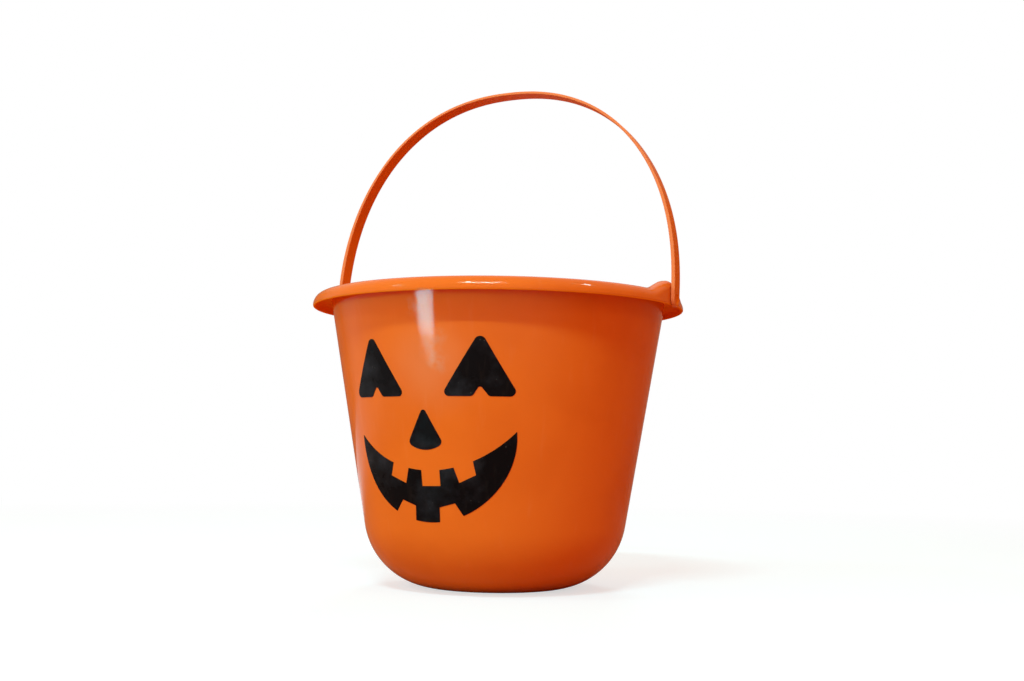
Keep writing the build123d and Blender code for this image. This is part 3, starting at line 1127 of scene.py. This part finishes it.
def clothMaterial():
    # thins out towards the border, so that no edge shows in the gloss
    material, tree = emptyMaterial("flagCloth")
    cover = addNode(tree, "ShaderNodeAttribute", attribute_name="cover").outputs["Fac"]
    clear = addNode(tree, "ShaderNodeBsdfTransparent").outputs[0]
    weave = addNode(tree, "ShaderNodeBsdfDiffuse", {"Color": flagColour}).outputs[0]
    addNode(tree, "ShaderNodeOutputMaterial", {"Surface": mixShaders(cover, clear, weave)})
    return material


def makeScreen(name, points, faces, covers, cloth, glossOnly):
    screen = meshObject(name, points, faces)
    pointLayer(screen, "cover", covers)
    screen.data.materials.append(cloth)
    screen.visible_camera = False
    screen.visible_diffuse = screen.visible_shadow = not glossOnly


def makeFlag(name, flag, cloth):
    points, faces, covers = [], [], []
    levels = flagMesh["levels"]
    for turn in range(flag["from"], flag["to"] + 1, flagMesh["turnStep"]):
        x, y = math.sin(math.radians(turn)), -math.cos(math.radians(turn))
        side = min((turn - flag["from"]) / flag["fade"], (flag["to"] - turn) / flag["fade"], 1)
        for level in range(levels + 1):
            share = level / levels
            height = flagMesh["foot"] + share * flag["top"]
            points.append((x * flag["radius"], y * flag["radius"], height))
            covers.append(max(side, 0) * min((1 - share) / flagMesh["fadeShare"], 1))
    for row in range(0, len(points) - levels - 1, levels + 1):
        for corner in range(row, row + levels):
            faces.append((corner, corner + 1, corner + levels + 2, corner + levels + 1))
    makeScreen(name, points, faces, covers, cloth, flag["glossOnly"])


def makeMat(cloth):
    points, faces, covers = [], [], []
    count = mat["steps"]
    for radius, cover in ((mat["hole"], 1), (mat["full"], 1), (mat["radius"], 0)):
        ring = arcPoints((0, 0), radius, 0, 360, count)[1:]
        points += [(x, y, mat["height"]) for x, y in ring]
        covers += [cover] * count
    for start in (0, count):
        for step in range(count):
            a, b = start + step, start + (step + 1) % count
            faces.append((a, a + count, b + count, b))
    makeScreen("warmMat", points, faces, covers, cloth, True)


def makePane(name, corners, tint, glow):
    pane = meshObject(name, corners, [tuple(range(len(corners)))])
    light, tree = emptyMaterial(name + "Light")
    light.cycles.emission_sampling = "NONE"    # the gloss finds it, so no light is spent on it elsewhere
    depth = addNode(tree, "ShaderNodeLightPath").outputs["Diffuse Depth"]
    inputs = {"Color": tint, "Strength": mapRange(depth, 0.0, 1.0, glow, 0.0)}
    shine = addNode(tree, "ShaderNodeEmission", inputs)
    addNode(tree, "ShaderNodeOutputMaterial", {"Surface": shine.outputs[0]})
    pane.data.materials.append(light)
    pane.visible_camera = pane.visible_diffuse = pane.visible_shadow = False
    pane.light_linking.receiver_collection = shinyPieces


def makeWindow():
    middle = Vector(window["place"])
    along = Vector((-middle.y, middle.x, 0)).normalized()
    wide, high = window["half"]
    corners = [middle + along * (u * wide) + Vector((0, 0, v * high)) for u, v in window["outline"]]
    makePane("lowWindow", corners, window["tint"], window["glow"])


def lampPlace(lamp):
    turn, rise = math.radians(lamp["turn"]), math.radians(lamp["rise"])
    way = Vector((math.sin(turn) * math.cos(rise), -math.cos(turn) * math.cos(rise), math.sin(rise)))
    return Vector(stage["target"]) + way * stage["lampAway"]


def makeGlint(name, glint):
    place = lampPlace(glint)
    back = (place - Vector(stage["target"])).normalized()
    along = Vector((0, 0, 1)).cross(back).normalized()
    wide, high = along * glint["half"][0], back.cross(along) * glint["half"][1]
    corners = [place - wide - high, place + wide - high, place + wide + high, place - wide + high]
    makePane(name, corners, glintTint, glint["glow"])


def addLamp(name, lamp):
    light = bpy.data.lights.new(name, "AREA")
    light.color = lamp["tint"]
    light.shape = "RECTANGLE"
    wide, high = lamp["size"]
    light.size, light.size_y = wide, high
    light.energy = lamp["glow"] * math.pi * wide * high
    place = lampPlace(lamp)
    lit = bpy.data.objects.new(name, light)
    lit.location = place
    lit.rotation_euler = (place - Vector(stage["target"])).to_track_quat("Z", "Y").to_euler()
    lit.visible_camera = lit.visible_glossy = False
    bpy.context.scene.collection.objects.link(lit)


shinyPieces = bpy.data.collections.new("shinyPieces")    # the panes shine on all but the satin handle
for piece in (pailShell, rightEye, leftEye, noseFilm, mouthFilm):
    shinyPieces.objects.link(piece)
makeFloor()
makeSurround()
makeWindow()
flagCloth = clothMaterial()
for name, flag in flags.items():
    makeFlag(name, flag, flagCloth)
makeMat(flagCloth)
for name, glint in glints.items():
    makeGlint(name, glint)
for name, lamp in lamps.items():
    addLamp(name, lamp)
print("stage lit")


# camera: the photograph's angle
camera = {
    "place": (0.3091, -0.6235, 0.0732),
    "heading": 25.735,    # degrees, towards -X from +Y
    "pitch": 4.859,
    "roll": 0.796,
    "lens": 45.08,
    "sensor": 36.0,
    "clip": (0.02, 40.0),
}
cameraData = bpy.data.cameras.new("camera")
cameraData.lens, cameraData.sensor_width = camera["lens"], camera["sensor"]
cameraData.clip_start, cameraData.clip_end = camera["clip"]
view = bpy.data.objects.new("camera", cameraData)
view.matrix_world = (
    Matrix.Translation(camera["place"])
    @ Matrix.Rotation(math.radians(camera["heading"]), 4, "Z")
    @ Matrix.Rotation(math.radians(90 + camera["pitch"]), 4, "X")
    @ Matrix.Rotation(math.radians(camera["roll"]), 4, "Z")
)
bpy.context.scene.collection.objects.link(view)
bpy.context.scene.camera = view
bpy.context.scene.view_settings.view_transform = "Standard"
